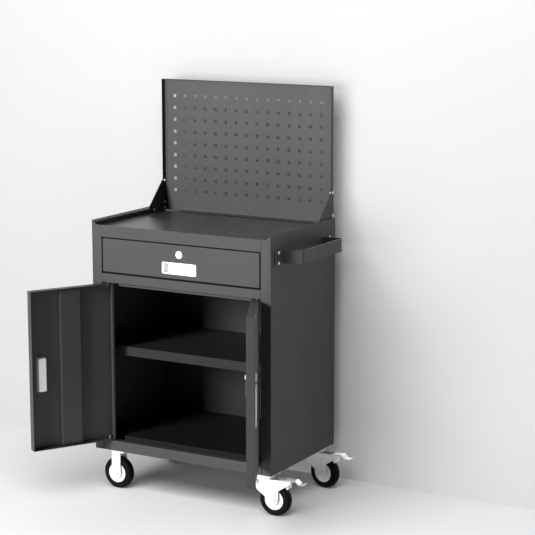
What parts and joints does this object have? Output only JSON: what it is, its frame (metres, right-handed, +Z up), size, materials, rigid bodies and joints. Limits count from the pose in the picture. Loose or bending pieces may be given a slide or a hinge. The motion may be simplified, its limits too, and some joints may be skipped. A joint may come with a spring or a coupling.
{
  "type": "rolling tool chest",
  "caption": "Sheet steel tool cabinet on casters with a drawer above two doors and a shelf, a recessed worktop, an upright perforated back panel and a side push handle.",
  "frame": {"origin": "on the floor under the centre of the cabinet body", "axes": "+X to the side with the push handle, +Y to the back, +Z up; the drawer and doors face -Y"},
  "size_m": [0.8095, 0.6405, 1.2574],
  "materials": {
    "powder_coat": "fine-textured powder coat, satin",
    "zinc_plate": "zinc-plated steel",
    "bright_plate": "bright plated",
    "tyre_rubber": "matte black rubber"
  },
  "bodies": {
    "cabinet": {"side_left": "powder_coat", "side_right": "powder_coat", "back_panel": "powder_coat", "worktop": "powder_coat", "top_rail": "powder_coat", "middle_rail": "powder_coat", "bottom_rail": "powder_coat", "floor_panel": "powder_coat", "base_channel_left": "powder_coat", "base_channel_right": "powder_coat", "shelf": "powder_coat", "shelf_clips": "zinc_plate", "pegboard": "powder_coat", "gusset_left": "powder_coat", "gusset_right": "powder_coat", "gusset_screws": "zinc_plate", "side_handle": "powder_coat", "handle_screws": "zinc_plate", "slide_outer_left": "zinc_plate", "slide_outer_right": "zinc_plate", "hinge_pins": "zinc_plate", "rigid_fork_front": "zinc_plate", "rigid_fork_rear": "zinc_plate", "rigid_axles": "zinc_plate", "swivel_plate_front": "zinc_plate", "swivel_plate_rear": "zinc_plate", "caster_bolts": "zinc_plate"},
    "drawer": {"drawer_front": "powder_coat", "drawer_box": "powder_coat", "drawer_pull": "bright_plate", "drawer_lock_body": "bright_plate", "slide_inner_left": "zinc_plate", "slide_inner_right": "zinc_plate"},
    "drawer_slide_left": {"slide_middle_left": "zinc_plate"},
    "drawer_slide_right": {"slide_middle_right": "zinc_plate"},
    "drawer_lock": {"drawer_lock_core": "bright_plate", "drawer_lock_cam": "zinc_plate"},
    "left_door": {"left_door_skin": "powder_coat", "left_door_stiffener": "powder_coat", "left_door_pull": "bright_plate"},
    "right_door": {"right_door_skin": "powder_coat", "right_door_stiffener": "powder_coat", "right_door_pull": "bright_plate", "door_lock_body": "bright_plate"},
    "door_lock": {"door_lock_core": "bright_plate", "door_lock_cam": "zinc_plate"},
    "front_swivel": {"swivel_fork_front": "zinc_plate", "swivel_axle_front": "zinc_plate"},
    "rear_swivel": {"swivel_fork_rear": "zinc_plate", "swivel_axle_rear": "zinc_plate"},
    "front_brake": {"brake_pedal_front": "zinc_plate"},
    "rear_brake": {"brake_pedal_rear": "zinc_plate"},
    "wheel_left_front": {"hub_left_front": "zinc_plate", "tyre_left_front": "tyre_rubber"},
    "wheel_left_rear": {"hub_left_rear": "zinc_plate", "tyre_left_rear": "tyre_rubber"},
    "wheel_right_front": {"hub_right_front": "zinc_plate", "tyre_right_front": "tyre_rubber"},
    "wheel_right_rear": {"hub_right_rear": "zinc_plate", "tyre_right_rear": "tyre_rubber"}
  },
  "joints": [
    {"name": "drawer_travel", "type": "slide", "parent": "cabinet", "child": "drawer", "axis": [0, -1, 0], "range_m": [0, 0.33]},
    {"name": "slide_left_travel", "type": "slide", "parent": "cabinet", "child": "drawer_slide_left", "axis": [0, -1, 0], "range_m": [0, 0.165]},
    {"name": "slide_right_travel", "type": "slide", "parent": "cabinet", "child": "drawer_slide_right", "axis": [0, -1, 0], "range_m": [0, 0.165]},
    {"name": "drawer_lock_turn", "type": "hinge", "parent": "drawer", "child": "drawer_lock", "pos_m": [0, -0.2025, 0.77], "axis": [0, -1, 0], "range_deg": [0, 90]},
    {"name": "left_door_hinge", "type": "hinge", "parent": "cabinet", "child": "left_door", "pos_m": [-0.2645, -0.1955, 0.411], "axis": [0, 0, 1], "range_deg": [-8, 120]},
    {"name": "right_door_hinge", "type": "hinge", "parent": "cabinet", "child": "right_door", "pos_m": [0.2645, -0.1955, 0.411], "axis": [0, 0, 1], "range_deg": [-117, 11]},
    {"name": "door_lock_turn", "type": "hinge", "parent": "right_door", "child": "door_lock", "pos_m": [0.37289, -0.3928, 0.482], "axis": [-0.891, -0.454, 0], "range_deg": [0, 90]},
    {"name": "front_swivel_turn", "type": "hinge", "parent": "cabinet", "child": "front_swivel", "pos_m": [0.272, -0.162, 0.117], "axis": [0, 0, 1], "continuous": true},
    {"name": "rear_swivel_turn", "type": "hinge", "parent": "cabinet", "child": "rear_swivel", "pos_m": [0.272, 0.162, 0.117], "axis": [0, 0, 1], "continuous": true},
    {"name": "wheel_left_front_spin", "type": "hinge", "parent": "cabinet", "child": "wheel_left_front", "pos_m": [-0.254, -0.162, 0.05], "axis": [0, 1, 0], "continuous": true},
    {"name": "wheel_left_rear_spin", "type": "hinge", "parent": "cabinet", "child": "wheel_left_rear", "pos_m": [-0.254, 0.162, 0.05], "axis": [0, 1, 0], "continuous": true},
    {"name": "wheel_right_front_spin", "type": "hinge", "parent": "front_swivel", "child": "wheel_right_front", "pos_m": [0.30898, -0.16071, 0.05], "axis": [-0.0349, 0.9994, 0], "continuous": true},
    {"name": "wheel_right_rear_spin", "type": "hinge", "parent": "rear_swivel", "child": "wheel_right_rear", "pos_m": [0.30864, 0.15685, 0.05], "axis": [0.1392, 0.9903, 0], "continuous": true},
    {"name": "front_brake_press", "type": "hinge", "parent": "front_swivel", "child": "front_brake", "pos_m": [0.34496, -0.15945, 0.11], "axis": [-0.0349, 0.9994, 0], "range_deg": [0, 15.5]},
    {"name": "rear_brake_press", "type": "hinge", "parent": "rear_swivel", "child": "rear_brake", "pos_m": [0.34429, 0.15184, 0.11], "axis": [0.1392, 0.9903, 0], "range_deg": [0, 15.5]}
  ],
  "couplings": [
    {"joint": "slide_left_travel", "follows": "drawer_travel", "ratio": 0.5},
    {"joint": "slide_right_travel", "follows": "drawer_travel", "ratio": 0.5}
  ]
}
